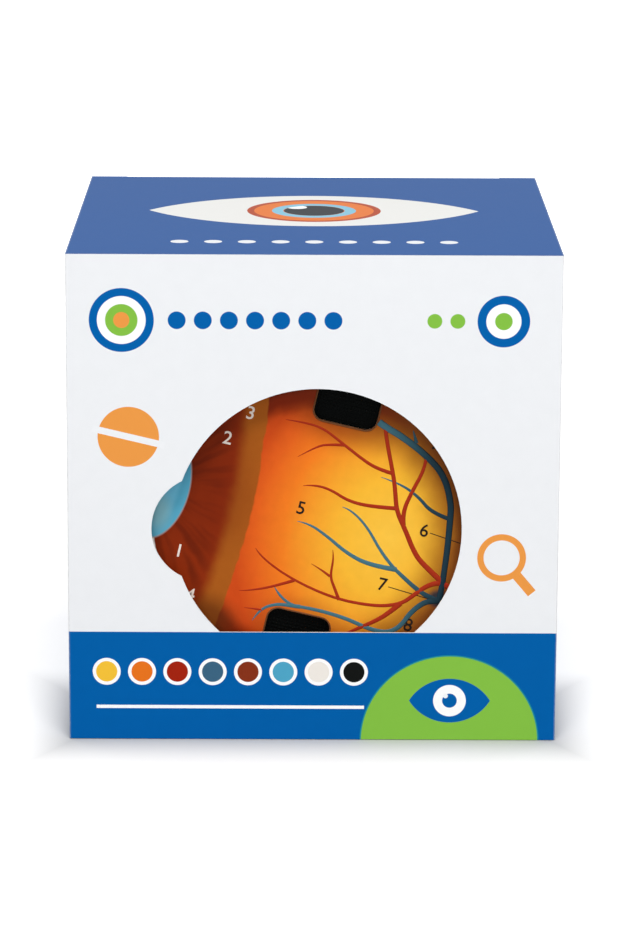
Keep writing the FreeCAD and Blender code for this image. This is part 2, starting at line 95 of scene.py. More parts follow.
class Half(Enum):
    """The half in the window, with numbers, and the one behind it. The value is where its face looks."""

    LABELLED = -1
    PLAIN = 1

    @property
    def body(self) -> str:
        """The CAD body that the half's pieces ride on."""
        return "labelled_half" if self is Half.LABELLED else "plain_half"


class Panel(Enum):
    """A printed panel: its node, the axis and sense that its print looks along, and where that side is."""

    FRONT = ("front_panel", 1, -1, DEPTH / 2)
    REAR = ("rear_panel", 1, 1, DEPTH / 2)
    LEFT = ("left_panel", 0, -1, WIDTH / 2)
    RIGHT = ("right_panel", 0, 1, WIDTH / 2)
    LID = ("lid_panel", 2, 1, HEIGHT)
    TUCK = ("lid_tuck_flap", 1, 1, 0.0)
    BOTTOM_FRONT = ("bottom_front_flap", 2, -1, 0.0)
    BOTTOM_REAR = ("bottom_rear_flap", 2, -1, 0.0)


# ---------------------------------------------------------------- shared helpers

def linear(code: str, share: float = 1.0) -> tuple[float, float, float, float]:
    """Turns an sRGB hex colour into linear red, green, blue and alpha.

    Args:
        code: The colour as "#RRGGBB".
        share: The share of its light that is left.

    Returns:
        The colour that a shader socket takes.
    """
    parts = [int(code[n:n + 2], 16) / 255 for n in (1, 3, 5)]
    red, green, blue = (share * (p / 12.92 if p <= 0.04045 else ((p + 0.055) / 1.055) ** 2.4) for p in parts)
    return red, green, blue, 1.0


def feed(tree: Tree, socket: Socket, value: object) -> None:
    """Feeds one input socket.

    Args:
        tree: The node tree.
        socket: The input.
        value: An output to link, a hex colour or a plain value to set, or None to leave the input as it is.
    """
    if isinstance(value, Socket):
        tree.links.new(value, socket)
    elif isinstance(value, str):
        socket.default_value = linear(value)
    elif value is not None:
        socket.default_value = value


def add_node(tree: Tree, kind: str, inputs: Sequence[object] = (), **settings: object) -> Socket:
    """Adds a shader node with its settings and links.

    Args:
        tree: The node tree to add to.
        kind: The node's type, without the "ShaderNode" that it starts with.
        inputs: What feeds its live inputs, in their order.
        **settings: The node's own properties.

    Returns:
        The node's first live output. The output's node gives the others.
    """
    node = tree.nodes.new(f"ShaderNode{kind}")
    for name, value in settings.items():
        setattr(node, name, value)
    for socket, value in zip([entry for entry in node.inputs if entry.enabled], inputs):
        feed(tree, socket, value)
    return next(entry for entry in node.outputs if entry.enabled)


def only(obj: Piece) -> None:
    """Selects one object alone and makes it the active one.

    Args:
        obj: The object.
    """
    bpy.ops.object.select_all(action="DESELECT")
    obj.select_set(True)
    bpy.context.view_layer.objects.active = obj


def apply_place(obj: Piece) -> None:
    """Moves an object's place, turn and scale into its mesh.

    Args:
        obj: The mesh object.
    """
    only(obj)
    bpy.ops.object.transform_apply(location=True, rotation=True, scale=True)


def add_plate(width: float, height: float) -> Piece:
    """Adds a flat upright plate in the XZ plane.

    Args:
        width: Its size along X.
        height: Its size along Z.

    Returns:
        A mesh object of one face.
    """
    bpy.ops.object.select_all(action="DESELECT")
    bpy.ops.mesh.primitive_plane_add(size=1.0, rotation=(math.radians(90), 0, 0))
    plate = bpy.context.view_layer.objects.active
    plate.scale = (width, height, 1.0)
    apply_place(plate)
    return plate


def add_modifier(obj: Piece, kind: str, **settings: object) -> None:
    """Adds a modifier to an object and applies it.

    Args:
        obj: The mesh object.
        kind: The modifier's type.
        **settings: Its properties.
    """
    only(obj)
    bpy.ops.object.modifier_add(type=kind)
    modifier = obj.modifiers[-1]
    for name, value in settings.items():
        setattr(modifier, name, value)
    bpy.ops.object.modifier_apply(modifier=modifier.name)


def settle(obj: Piece, name: str, body: str, material: Material) -> None:
    """Finishes a piece: its place goes into its mesh, and it gets a material and a body to ride on.

    Args:
        obj: The mesh object.
        name: The piece's name.
        body: The CAD body that it moves with.
        material: Its finish.
    """
    apply_place(obj)
    obj.name = name
    obj.data.name = name
    obj.data.materials.clear()
    obj.data.materials.append(material)
    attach(obj, body)
    LOG.info("piece %s rides on %s with %d faces", name, body, len(obj.data.polygons))


def join(objects: Sequence[Piece]) -> Piece:
    """Joins closed meshes into one, and turns its faces outwards.

    Args:
        objects: The mesh objects.

    Returns:
        The first of them, which holds them all.
    """
    only(objects[0])
    for obj in objects:
        obj.select_set(True)
    bpy.ops.object.join()
    joined = bpy.context.view_layer.objects.active
    point_outwards(joined)
    return joined


def point_outwards(obj: Piece) -> None:
    """Turns all faces of a closed mesh outwards.

    Args:
        obj: The mesh object.
    """
    only(obj)
    bpy.ops.object.mode_set(mode="EDIT")
    bpy.ops.mesh.select_all(action="SELECT")
    bpy.ops.mesh.normals_make_consistent(inside=False)
    bpy.ops.object.mode_set(mode="OBJECT")


def drawn_line(points: Sequence[Pair], widths: Pair, relief: float, tip: float = 1.0) -> Piece:
    """Makes a smooth line of ink that tapers along its length, as a low rounded ridge.

    Args:
        points: The line's route on the face, in drawn units.
        widths: Its width at the start and at the end, in drawn units.
        relief: How far the ridge stands proud, as a share of its half width.
        tip: The share of the end width that is left at the very tip.

    Returns:
        A mesh object in drawn units along X and Z, which still has to be placed.
    """
    curve = bpy.data.curves.new("line", "CURVE")
    curve.dimensions = "3D"
    curve.bevel_depth = 1.0
    curve.bevel_resolution = 2
    curve.resolution_u = 6
    curve.use_fill_caps = True
    spline = curve.splines.new("NURBS")
    last = len(points) - 1
    spline.points.add(last)
    for n, (along, up) in enumerate(points):
        share = n / last
        width = widths[0] * (1 - share) + widths[1] * share
        spline.points[n].co = (along, 0.0, up, 1.0)
        spline.points[n].radius = width * (tip if n == last else 1.0) / 2
    spline.order_u = min(3, len(points))
    spline.use_endpoint_u = True
    obj = bpy.data.objects.new("line", curve)
    bpy.context.scene.collection.objects.link(obj)
    only(obj)
    bpy.ops.object.convert(target="MESH")
    made = bpy.context.view_layer.objects.active
    made.scale = (1.0, relief, 1.0)
    apply_place(made)
    return made


def numeral(words: str, height: float, thick: float, place: Pair) -> Piece:
    """Makes plain numerals as a thin upright mesh, centred on a place, that looks along -Y.

    Args:
        words: The numerals.
        height: Their height.
        thick: The ink's thickness.
        place: Where their centre is, along X and Z.

    Returns:
        A mesh object in the unit of its sizes.
    """
    bpy.ops.object.select_all(action="DESELECT")
    bpy.ops.object.text_add()
    text = bpy.context.view_layer.objects.active
    text.data.body = words
    text.data.size = height * 1.4  # a capital is about 0.7 of the type's size
    text.data.extrude = thick / 2
    text.data.offset = height * 0.012
    text.data.resolution_u = 4
    text.data.align_x = "CENTER"
    text.data.align_y = "CENTER"
    bpy.ops.object.convert(target="MESH")
    made = bpy.context.view_layer.objects.active
    made.rotation_euler = (math.radians(90), 0, 0)
    made.location = (place[0], 0.0, place[1])
    apply_place(made)
    return made


# ---------------------------------------------------------------- printing

@dataclass(frozen=True)
class Patch:
    """A soft-edged patch of ink: an oval or a box with its centre, radii and colour.

    The soft edge, the hole and the cover are shares of 1. A pitch repeats the patch along each axis where it
    isn't 0, and only what lies within all the patches in `within` is inked.
    """

    centre: Triple
    radii: Triple
    colour: str
    soft: float = 0.05
    cover: float = 1.0
    turn: Triple = ORIGIN
    square: bool = False
    hole: float = 0.0
    pitch: Triple = ORIGIN
    within: tuple["Patch", ...] = ()

    def away(self, tree: Tree, place: Socket) -> Socket:
        """Gives how far a place is from the patch's centre, where 1 is its edge.

        Args:
            tree: The material's nodes.
            place: Where the surface is.

        Returns:
            The distance in the patch's own radii.
        """
        turn = [math.radians(angle) for angle in self.turn]
        local = add_node(tree, "Mapping", (place, self.centre, turn), vector_type="TEXTURE")
        if any(self.pitch):
            reach = [step / 2 or NO_REPEAT for step in self.pitch]
            local = add_node(tree, "VectorMath", (local, reach, [-value for value in reach]),
                             operation="WRAP")
        unit = add_node(tree, "VectorMath", (local, self.radii), operation="DIVIDE")
        if self.square:
            size = add_node(tree, "VectorMath", (unit,), operation="ABSOLUTE")
            parts = add_node(tree, "SeparateXYZ", (size,)).node.outputs
            far = add_node(tree, "Math", (parts[0], parts[1]), operation="MAXIMUM")
            far = add_node(tree, "Math", (far, parts[2]), operation="MAXIMUM")
        else:
            far = add_node(tree, "VectorMath", (unit,), operation="LENGTH")
        for other in self.within:
            far = add_node(tree, "Math", (far, other.away(tree, place)), operation="MAXIMUM")
        return far

    def over(self, tree: Tree, place: Socket, under: Socket) -> Socket:
        """Inks the patch over a colour.

        Args:
            tree: The material's nodes.
            place: Where the surface is.
            under: The colour below.

        Returns:
            The colour with the patch on it.
        """
        far = self.away(tree, place)
        cover = add_node(tree, "MapRange", (far, 1 - self.soft, 1 + self.soft, self.cover, 0.0),
                         interpolation_type="SMOOTHSTEP")
        if self.hole:
            ring = add_node(tree, "MapRange", (far, self.hole - self.soft, self.hole + self.soft),
                            interpolation_type="SMOOTHSTEP")
            cover = add_node(tree, "Math", (cover, ring), operation="MULTIPLY")
        return add_node(tree, "Mix", (cover, under, self.colour), data_type="RGBA")


@dataclass(frozen=True)
class Layout:
    """Lays out flat ink on a surface that looks along one axis, with sizes across and up."""

    axis: int

    def spread(self, across: float, up: float, normal: float) -> Triple:
        """Puts sizes on the surface's axes.

        Args:
            across: The size across.
            up: The size up, or forward on a level surface.
            normal: The size along the normal.

        Returns:
            The sizes along X, Y and Z.
        """
        sizes = [across, up]
        sizes.insert(self.axis, normal)
        return tuple(sizes)

    def patch(self, centre: Pair, radii: Pair, colour: str, turn: float = 0.0, pitch: float = 0.0,
              **settings: object) -> Patch:
        """Makes a flat patch, with an edge about 0.08 mm soft unless told otherwise.

        Args:
            centre: Its centre across and up.
            radii: Its half sizes.
            colour: Its ink.
            turn: Its turn in degrees.
            pitch: Its repeat across.
            **settings: Other fields of the patch.

        Returns:
            The patch.
        """
        settings.setdefault("soft", 0.08 / (max(radii) if settings.get("square") else min(radii)))
        return Patch(self.spread(*centre, 0.0), self.spread(*radii, FAR), colour,
                     turn=self.spread(0.0, 0.0, turn), pitch=self.spread(pitch, 0.0, 0.0), **settings)

    def eye_symbol(self, centre: Pair, width: float, outline: str, iris: str,
                   pupil: str) -> tuple[Patch, ...]:
        """Draws a plain eye seen from the front: two crossing arcs, an iris, a pupil and a glint.

        Args:
            centre: Its centre across and up.
            width: Its whole width.
            outline: The almond's ink.
            iris: The iris's ink.
            pupil: The pupil's ink.

        Returns:
            The patches, from the lowest.
        """
        across, up = centre
        arc = (width * 0.58,) * 2
        sink = width * 0.30
        lower = self.patch((across, up + sink), arc, outline)
        return (self.patch((across, up - sink), arc, outline, within=(lower,)),
                self.patch(centre, (width * 0.20,) * 2, iris),
                self.patch(centre, (width * 0.09,) * 2, pupil),
                self.patch((across - width * 0.05, up + width * 0.06), (width * 0.03,) * 2, "#F4F6F8"))

    def rings(self, centre: Pair, radius: float, inks: Sequence[str]) -> tuple[Patch, ...]:
        """Draws discs of ever smaller size on one centre.

        Args:
            centre: Their centre across and up.
            radius: The largest one's radius.
            inks: Their inks, from the largest.

        Returns:
            The patches, from the lowest.
        """
        steps = len(inks)
        return tuple(self.patch(centre, (radius * (steps - n) / steps,) * 2, ink)
                     for n, ink in enumerate(inks))

    def dots(self, centre: Pair, pitch: float, radius: float, count: int, colour: str) -> Patch:
        """Draws a row of equal dots.

        Args:
            centre: The row's centre across and up.
            pitch: The step from dot to dot.
            radius: The dots' radius.
            count: How many dots there are.
            colour: Their ink.

        Returns:
            The patch, which repeats across and is cut off after the last dot.
        """
        row = self.patch(centre, (pitch * count / 2, radius * 2), colour, square=True)
        first = (centre[0] + (pitch / 2 if count % 2 == 0 else 0.0), centre[1])
        return self.patch(first, (radius, radius), colour, pitch=pitch, within=(row,))


# ---------------------------------------------------------------- finishes

def where(tree: Tree, centre: Triple = ORIGIN, turn: Triple = ORIGIN, unit: float = 1.0) -> Socket:
    """Gives a surface's own place, in millimetres or other units, from a centre and in a turned frame.

    Args:
        tree: The material's nodes.
        centre: The frame's centre in millimetres.
        turn: The frame's turn in degrees about X, Y and Z.
        unit: The unit in millimetres.

    Returns:
        The place.
    """
    own = add_node(tree, "TexCoord").node.outputs["Object"]
    return add_node(tree, "Mapping", (own, [value * MM for value in centre],
                                      [math.radians(value) for value in turn], (unit * MM,) * 3),
                    vector_type="TEXTURE")


def bumped(tree: Tree, place: Socket, layers: Sequence[Pair]) -> tuple[Socket, Socket]:
    """Roughens a surface with layers of grain.

    Args:
        tree: The material's nodes.
        place: Where the surface is, in millimetres.
        layers: For each layer its grain size and its height, from the coarsest.

    Returns:
        The normal, and the first layer's height from 0 to 1 for other uses.
    """
    normal = None
    clouds = []
    for grain, height in layers:
        clouds.append(add_node(tree, "TexNoise", (place, 1 / grain, 3.0)))
        normal = add_node(tree, "Bump", (1.0, height * MM, None, clouds[-1], normal))
    return normal, clouds[0]


@dataclass(frozen=True)
class Finish:
    """A finish that a maker would name. Each kind dresses its own nodes."""

    name: str

    def made(self) -> Material:
        """Makes the material.

        Returns:
            The material, its shader fed with what `dress` gives.
        """
        material = bpy.data.materials.new(self.name)
        material.use_nodes = True
        tree = material.node_tree
        shader = tree.nodes["Principled BSDF"]
        for name, value in self.dress(tree).items():
            feed(tree, shader.inputs[name], value)
        return material

    def dress(self, tree: Tree) -> dict[str, object]:
        """Adds the finish's nodes and gives the shader's inputs by name. Each kind of finish has its own."""
        raise NotImplementedError


@dataclass(frozen=True)
class PrintedBoard(Finish):
    """Clay-coated folding board, offset printed and varnished on its outer side and bare on the others.

    The varnish gives a satin sheen with a faint orange peel, and the ink rubs off along the folds. A panel
    that wraps is printed on its two side edges too, which show beside the fold. The coat starts and is
    full at two depths below the outer side, and a soft edge is `blur` wide.
    """

    panel: Panel = Panel.FRONT
    patches: tuple[Patch, ...] = ()
    ground: str = Ink.PAPER
    band: bool = False
    wraps: bool = False
    centre: Triple = ORIGIN
    lean: float = 0.0
    gloss: float = 0.12
    peel: tuple[Pair, ...] = ((5.0, 0.012), (0.35, 0.006))
    rub_width: float = 0.55
    rub: float = 0.55
    coat: Pair = (0.06, 0.04)
    blur: float = 0.06
    bare: tuple[str, str] = ("#DAD8D1", "#EDEBE5")

    def dress(self, tree: Tree) -> dict[str, object]:
        """Adds the print, the bare board and the wear.

        Args:
            tree: The material's nodes.

        Returns:
            The shader's inputs by name.
        """
        _, axis, sense, level = self.panel.value
        place = where(tree, self.centre, (self.lean, 0.0, 0.0))
        parts = add_node(tree, "SeparateXYZ", (place,)).node.outputs
        normal, mottle = bumped(tree, place, self.peel)
        ink = add_node(tree, "Mix", (mottle, self.ground, linear(self.ground, 0.965)), data_type="RGBA")
        if self.band:
            in_band = add_node(tree, "MapRange", (parts[2], SILL - self.blur, SILL + self.blur, 1.0, 0.0))
            blue = add_node(tree, "Mix", (mottle, Ink.BLUE, linear(Ink.BLUE, 0.94)), data_type="RGBA")
            ink = add_node(tree, "Mix", (in_band, ink, blue), data_type="RGBA")
        for patch in self.patches:
            ink = patch.over(tree, place, ink)
        far = add_node(tree, "Math", (parts[0 if axis else 1],), operation="ABSOLUTE")
        rub = add_node(tree, "MapRange", (far, WIDTH / 2 - self.rub_width, WIDTH / 2, 0.0, self.rub))
        patchy = add_node(tree, "TexNoise", (place, 0.6, 4.0))
        worn = add_node(tree, "Math", (rub, patchy), operation="MULTIPLY")
        ink = add_node(tree, "Mix", (worn, ink, "#F7F6F2"), data_type="RGBA")
        outer = add_node(tree, "MapRange", (parts[axis], sense * (level - self.coat[0]),
                                            sense * (level - self.coat[1])))
        if self.wraps:
            inner = WIDTH / 2 - BOARD
            turned = add_node(tree, "MapRange", (far, inner + self.blur / 2, inner + self.blur))
            outer = add_node(tree, "Math", (outer, turned), operation="MAXIMUM")
        fibre = add_node(tree, "TexNoise", (place, 2.2, 5.0))
        board = add_node(tree, "Mix", (fibre, *self.bare), data_type="RGBA")
        return {"Base Color": add_node(tree, "Mix", (outer, board, ink), data_type="RGBA"), "Normal": normal,
                "Roughness": add_node(tree, "MapRange", (outer, 0.0, 1.0, 0.85, 0.38)),
                "IOR": 1.5, "Specular IOR Level": self.gloss}


@dataclass(frozen=True)
class BareBoard(Finish):
    """Uncoated side of bleached board: a dull warm white with short pale and grey fibres."""

    light: str = "#EBE9E3"
    dark: str = "#DFDDD6"
    grain: tuple[Pair, ...] = ((3.0, 0.006), (0.3, 0.01))
    stretch: float = 6.0

    def dress(self, tree: Tree) -> dict[str, object]:
        """Adds fibres in the colour and in the height.

        Args:
            tree: The material's nodes.

        Returns:
            The shader's inputs by name.
        """
        place = where(tree)
        normal, cloud = bumped(tree, place, self.grain)
        long = add_node(tree, "Mapping", (place, None, None, (1.0, self.stretch, self.stretch)))
        fibre = add_node(tree, "TexNoise", (long, 0.9, 4.0))
        mixed = add_node(tree, "Math", (cloud, fibre), operation="MULTIPLY")
        share = add_node(tree, "MapRange", (mixed, 0.12, 0.4))
        return {"Base Color": add_node(tree, "Mix", (share, self.dark, self.light), data_type="RGBA"),
                "Normal": normal, "Roughness": 0.88, "IOR": 1.47, "Specular IOR Level": 0.2}


@dataclass(frozen=True)
class FoamSkin(Finish):
    """Moulded polyurethane foam with its own skin: matt, soft white and finely pored.

    The cornea end carries a painted pupil and an olive iris, and the nerve's end an orange core.
    """

    half: Half = Half.LABELLED
    grain: tuple[Pair, ...] = ((6.0, 0.05), (0.7, 0.05))
    pores: float = 1.4
    iris: float = 17.5
    pupil: float = 7.0
    core: float = 5.0

    def dress(self, tree: Tree) -> dict[str, object]:
        """Adds the pores and the painted places.

        Args:
            tree: The material's nodes.

        Returns:
            The shader's inputs by name.
        """
        place = where(tree, (EYE_ACROSS, self.half.value * FOAM_PLANE, EYE_UP), (0.0, EYE_TILT, 0.0))
        normal, cloud = bumped(tree, place, self.grain)
        pores = add_node(tree, "TexVoronoi", (place, self.pores))
        dark = add_node(tree, "MapRange", (pores, 0.05, 0.3, 0.35, 0.0))
        colour = add_node(tree, "Mix", (cloud, "#F1F0EB", "#E6E4DC"), data_type="RGBA")
        colour = add_node(tree, "Mix", (dark, colour, "#C9C6BC"), data_type="RGBA")
        streaks = add_node(tree, "TexNoise", (place, 0.9, 4.0))
        olive = add_node(tree, "Mix", (streaks, "#4F5A1E", "#8A9440"), data_type="RGBA")
        tip = (CORNEA_TIP, 0.0, 0.0)
        rim = Patch(tip, (10.0, self.iris + 1.5, self.iris + 1.5), "#3E4420", 0.05, 0.85)
        far = Patch(tip, (9.0, self.iris, self.iris), "#8A9440").away(tree, place)
        inside = add_node(tree, "MapRange", (far, 0.96, 1.04, 1.0, 0.0))
        colour = add_node(tree, "Mix", (inside, rim.over(tree, place, colour), olive), data_type="RGBA")
        for patch in (Patch(tip, (3.0, self.pupil, self.pupil), "#0B0B0C"),
                      Patch((NERVE_TIP, 0.0, -NERVE_DROP), (1.0, self.core, self.core), "#DE8A2E", 0.08),
                      *(Patch((across, 0.0, up), (14.0, 6.0, 10.5), "#8A5A30", 0.04)
                        for across, up in PAD_PLACES)):
            colour = patch.over(tree, place, colour)
        return {"Base Color": colour, "Normal": normal, "Roughness": 0.72, "IOR": 1.45,
                "Specular IOR Level": 0.2, "Sheen Weight": 0.08}


@dataclass(frozen=True)
class Ring:
    """A circle that parts two zones of the cut face: its centre along and up the face, and its radius."""

    along: float
    up: float
    radius: float

    def beyond(self, tree: Tree, place: Socket, start: float, end: float) -> Socket:
        """Gives a share that goes smoothly from 0 to 1 as a place leaves the circle.

        Args:
            tree: The material's nodes.
            place: Where the surface is.
            start: Where the share starts to rise, outwards from the circle.
            end: Where it reaches 1.

        Returns:
            The share.
        """
        arm = add_node(tree, "VectorMath", (place, (self.along, 0.0, self.up)), operation="SUBTRACT")
        flat = add_node(tree, "VectorMath", (arm, (1.0, 0.0, 1.0)), operation="MULTIPLY")
        radius = add_node(tree, "VectorMath", (flat,), operation="LENGTH")
        return add_node(tree, "MapRange", (radius, self.radius + start, self.radius + end),
                        interpolation_type="SMOOTHSTEP")


@dataclass(frozen=True)
class FaceFilm(Finish):
    """Printed film laid on the foam's cut face: satin ink on soft plastic. Its sizes are in drawn units.

    It shows the vitreous in yellow to red orange, the brown ciliary body with its fibres fanning from the
    lens, the pale blue lens, and the brown and white coats round the ball.
    """

    half: Half = Half.LABELLED
    grain: tuple[Pair, ...] = ((4.0, 0.01), (0.4, 0.008))
    focus: Pair = (25.0, -2.0)
    reach: Pair = (49.0, 62.0)
    lens: Pair = (-52.4, -2.3)
    lens_radii: Pair = (10.9, 18.2)
    choroid: Ring = Ring(4.0, -4.9, 42.9)
    ball: Ring = Ring(0.0, 0.0, 52.6)
    ciliary: Ring = Ring(-265.8, -6.5, 245.5)
    waver: float = 2.0
    stops: tuple[tuple[float, str], ...] = ((0.0, "#FBC545"), (0.32, "#F8B935"), (0.52, "#F59E2B"),
                                            (0.7, "#F17D21"), (0.88, "#E2611D"), (1.0, "#CE4B18"))

    def dress(self, tree: Tree) -> dict[str, object]:
        """Adds the drawing's grounds, from the back of the eye to the front.

        Args:
            tree: The material's nodes.

        Returns:
            The shader's inputs by name.
        """
        flat = where(tree, (EYE_ACROSS, self.half.value * FACE, EYE_UP), (0.0, EYE_TILT, 0.0), DRAWN_UNIT)
        normal, cloud = bumped(tree, flat, self.grain)
        noise = add_node(tree, "TexNoise", (flat, 0.16, 2.0)).node.outputs["Color"]
        shift = add_node(tree, "VectorMath", (noise, (0.5, 0.5, 0.5)), operation="SUBTRACT")
        place = add_node(tree, "VectorMath", (shift, (self.waver, 0.0, self.waver), flat),
                         operation="MULTIPLY_ADD")
        colour = self.ciliary_body(tree, place, self.coats(tree, place, self.vitreous(tree, place)))
        # the lens print, then the optic disc and the painted shade by the window's edges and the pads
        for patch in (*self.lens_print(), *self.disc_and_painted_shade()):
            colour = patch.over(tree, flat, colour)
        tone = add_node(tree, "MapRange", (cloud, 0.0, 1.0, 0.92, 1.06))
        return {"Base Color": add_node(tree, "VectorMath", (colour, tone), operation="SCALE"),
                "Normal": normal, "Roughness": 0.5, "IOR": 1.46, "Specular IOR Level": 0.05}

    def lens_print(self) -> tuple[Patch, ...]:
        """Lays out the cornea's pale ground and the lens, darker round its edge.

        Returns:
            The patches, from the lowest.
        """
        along, up = self.lens
        wide, high = self.lens_radii
        paint_on = Layout(1)
        return (paint_on.patch((-69.0, 0.0), (14.5, 24.0), "#CFE6EF", soft=0.06),
                paint_on.patch(self.lens, (wide + 0.35, high + 0.4), "#A5908C", soft=0.02),
                paint_on.patch(self.lens, (wide, high), "#5AAECD", soft=0.02),
                paint_on.patch((along - 1.6, up + 0.5), (wide - 1.6, high - 1.8), "#70C2E0", soft=0.12),
                paint_on.patch((along - 3.5, up - 3.5), (wide - 5.5, high - 9.5), "#A2D2DC", soft=0.6,
                               cover=0.75),
                paint_on.patch((along + 3.4, up - 9.0), (3.2, 5.2), "#8FBFC6", soft=0.7, cover=0.7))

    def disc_and_painted_shade(self) -> tuple[Patch, ...]:
        """Lays out the optic disc's printed dark spot and painted shade beside the coats and round the pads.

        Returns:
            The patches, from the lowest.
        """
        # the optic disc's print, then painted shade under the window's top edge round the upper pad, at the
        # window's lower left and round the lower pad
        rows = (((45.4, -18.4), (3.4, 2.8), "#1A2E3C", 0.4, 0.9),
                ((-26.5, -42.5), (9.0, 7.0), "#5C2A0C", 0.6, 0.7),
                ((3.0, 35.5), (17.0, 11.0), "#742A10", 0.5, 0.65),
                ((4.0, -38.0), (15.5, 9.0), "#8A3E16", 0.4, 0.4))
        return tuple(Layout(1).patch(centre, radii, ink, soft=soft, cover=cover)
                     for centre, radii, ink, soft, cover in rows)

    def vitreous(self, tree: Tree, place: Socket) -> Socket:
        """Paints the vitreous, yellow about its focus and red orange towards the ciliary body.

        Args:
            tree: The material's nodes.
            place: Where the surface is.

        Returns:
            The colour.
        """
        unit = add_node(tree, "Mapping", (place, (self.focus[0], 0.0, self.focus[1]), None,
                                          (self.reach[0], FAR, self.reach[1])), vector_type="TEXTURE")
        away = add_node(tree, "VectorMath", (unit,), operation="LENGTH")
        colour = add_node(tree, "ValToRGB", (away,))
        elements = colour.node.color_ramp.elements
        while len(elements) < len(self.stops):
            elements.new(0.5)
        for element, (at, code) in zip(elements, self.stops):
            element.position = at
            element.color = linear(code)
        return colour

    def coats(self, tree: Tree, place: Socket, colour: Socket) -> Socket:
        """Paints the coats outside the vitreous: brown retina and choroid, then the white sclera.

        Args:
            tree: The material's nodes.
            place: Where the surface is.
            colour: The colour below.

        Returns:
            The colour with the coats on it.
        """
        along = add_node(tree, "SeparateXYZ", (place,))
        behind = add_node(tree, "MapRange", (along, 2.0, 26.0), interpolation_type="SMOOTHSTEP")
        shade = self.choroid.beyond(tree, place, -15.0, -0.5)
        shade = add_node(tree, "Math", (shade, behind), operation="MULTIPLY")
        colour = add_node(tree, "Mix", (shade, colour, "#A3661C"), data_type="RGBA")
        coat = add_node(tree, "Mix", (behind, "#84280D", "#87491A"), data_type="RGBA")
        for ring, start, end, ink in ((self.choroid, -3.6, 1.4, coat), (self.choroid, 2.2, 6.0, "#64240F"),
                                      (self.ball, -2.0, -1.4, "#4A1D10"), (self.ball, 0.0, 0.3, "#F0EAE2")):
            cover = ring.beyond(tree, place, start, end)
            colour = add_node(tree, "Mix", (cover, colour, ink), data_type="RGBA")
        nerve = (70.0, -NERVE_DROP)
        for patch in (Layout(1).patch(nerve, (20.0, 4.4), "#E08A30", soft=0.08),
                      Layout(1).patch(nerve, (19.0, 1.2), "#B23A1E", soft=0.3, cover=0.8)):
            colour = patch.over(tree, place, colour)
        return colour

    def ciliary_body(self, tree: Tree, place: Socket, colour: Socket) -> Socket:
        """Paints the ciliary body with dark fibres that fan out from the lens.

        Args:
            tree: The material's nodes.
            place: Where the surface is.
            colour: The colour below.

        Returns:
            The colour with the ciliary body on it.
        """
        olive = self.ciliary.beyond(tree, place, -9.5, -4.5)
        brown = add_node(tree, "Mix", (olive, "#8A2C0A", "#A85A1A"), data_type="RGBA")
        parts = add_node(tree, "SeparateXYZ", (place,)).node.outputs
        along = add_node(tree, "Math", (parts[0], self.lens[0] - 3.0), operation="SUBTRACT")
        rise = add_node(tree, "Math", (parts[2], self.lens[1]), operation="SUBTRACT")
        angle = add_node(tree, "Math", (rise, along), operation="ARCTAN2")
        spoke = add_node(tree, "Math", (parts[0], 0.006), operation="MULTIPLY")
        fan = add_node(tree, "CombineXYZ", (angle, spoke))
        fibres = add_node(tree, "TexNoise", (fan, 6.5, 1.5))
        dark = add_node(tree, "MapRange", (fibres, 0.42, 0.66, 0.0, 0.7), interpolation_type="SMOOTHSTEP")
        fade = self.ciliary.beyond(tree, place, -14.0, -6.0)
        kept = add_node(tree, "Math", (1.0, fade), operation="SUBTRACT")
        shown = add_node(tree, "Math", (dark, kept), operation="MULTIPLY")
        brown = add_node(tree, "Mix", (shown, brown, "#5C1A06"), data_type="RGBA")
        shade = Layout(1).patch((-37.0, -1.0), (15.0, 17.0), "#6E1F08", soft=0.7, cover=0.5)
        brown = shade.over(tree, place, brown)
        inside = self.ciliary.beyond(tree, place, 0.35, -0.35)
        within = self.ball.beyond(tree, place, 0.4, -0.1)
        both = add_node(tree, "Math", (inside, within), operation="MULTIPLY")
        return add_node(tree, "Mix", (both, colour, brown), data_type="RGBA")


@dataclass(frozen=True)
class PrintInk(Finish):
    """Printing ink: a flat satin film whose strength varies a little as the paper takes it up.

    An ink may turn to a deeper shade towards +X.
    """

    colour: str = "#000000"
    spread: float = 0.12
    roughness: float = 0.45
    deep: str = ""
    turns_deep: Pair = (22.0, 42.0)
    grain: tuple[Pair, ...] = ((1.5, 0.006), (0.4, 0.004))
    board_grey: float = 0.35

    def dress(self, tree: Tree) -> dict[str, object]:
        """Adds the mottle of the ink, and its deeper shade if it has one.

        Args:
            tree: The material's nodes.

        Returns:
            The shader's inputs by name.
        """
        place = where(tree)
        normal, cloud = bumped(tree, place, self.grain)
        full = linear(self.colour)
        thin = (*(c * (1 - self.spread) + self.board_grey * self.spread for c in full[:3]), 1.0)
        colour = add_node(tree, "Mix", (cloud, full, thin), data_type="RGBA")
        if self.deep:
            across = add_node(tree, "SeparateXYZ", (place,))
            share = add_node(tree, "MapRange", (across, *self.turns_deep), interpolation_type="SMOOTHSTEP")
            colour = add_node(tree, "Mix", (share, colour, self.deep), data_type="RGBA")
        return {"Base Color": colour, "Normal": normal, "Roughness": self.roughness, "IOR": 1.5,
                "Specular IOR Level": 0.05}


